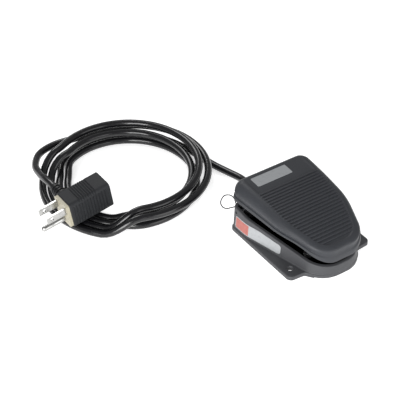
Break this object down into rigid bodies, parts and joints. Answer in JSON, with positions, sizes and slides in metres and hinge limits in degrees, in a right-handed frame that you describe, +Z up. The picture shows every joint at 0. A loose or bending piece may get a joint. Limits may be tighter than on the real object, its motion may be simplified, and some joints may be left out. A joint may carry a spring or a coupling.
{
  "type": "foot switch",
  "caption": "Low foot switch with a hinged ribbed treadle over a flanged base, a coiled round lead and a series plug.",
  "frame": {"origin": "midway between the two ear holes, on the underside of the base", "axes": "+Z up, +Y towards the hinge end where the lead leaves, +X to the right seen from the nose"},
  "size_m": [0.2089, 0.2613, 0.0437],
  "materials": {
    "base_plastic": "matte",
    "treadle_plastic": "matte",
    "steel": "satin",
    "brass": "satin",
    "cord_rubber": "satin",
    "plug_plastic": "matte",
    "switch_resin": "satin",
    "button_plastic": "satin",
    "cream_insulator": "satin",
    "wire_white": "satin"
  },
  "bodies": {
    "base": {"base_housing": "base_plastic", "hinge_pin": "steel", "pin_clips": "steel", "pin_wire": "steel", "spring_left": "steel", "spring_right": "steel", "switch_bracket": "steel", "bracket_screws": "steel", "switch_case": "switch_resin", "switch_terminals": "brass", "switch_screws": "steel", "switch_nuts": "steel", "strain_relief": "cord_rubber", "cord_jacket": "cord_rubber", "cord_clamp": "steel", "clamp_screws": "steel", "wire_live": "cord_rubber", "wire_switched": "wire_white", "cord_lead": "cord_rubber", "cord_coil": "cord_rubber", "cord_tail": "cord_rubber", "plug_body": "plug_plastic", "plug_face": "cream_insulator", "live_blade": "steel", "neutral_blade": "steel", "ground_pin": "steel", "socket_contacts": "brass", "plug_relief": "plug_plastic"},
    "treadle": {"treadle": "treadle_plastic", "press_screw": "steel", "press_nut": "steel"},
    "button": {"switch_button": "button_plastic"}
  },
  "joints": [
    {"name": "treadle_hinge", "type": "hinge", "parent": "base", "child": "treadle", "pos_m": [0, 0.0635, 0.0188], "axis": [1, 0, 0], "range_deg": [0, 2.2], "stiffness_Nm_per_rad": 4, "springref_deg": -5.73, "deforming": ["spring_left", "spring_right"]},
    {"name": "button_slide", "type": "slide", "parent": "base", "child": "button", "axis": [0, 0, -1], "range_m": [0, 0.0012]}
  ],
  "couplings": [
    {"joint": "button_slide", "follows": "treadle_hinge", "m_per_rad": 0.03}
  ]
}
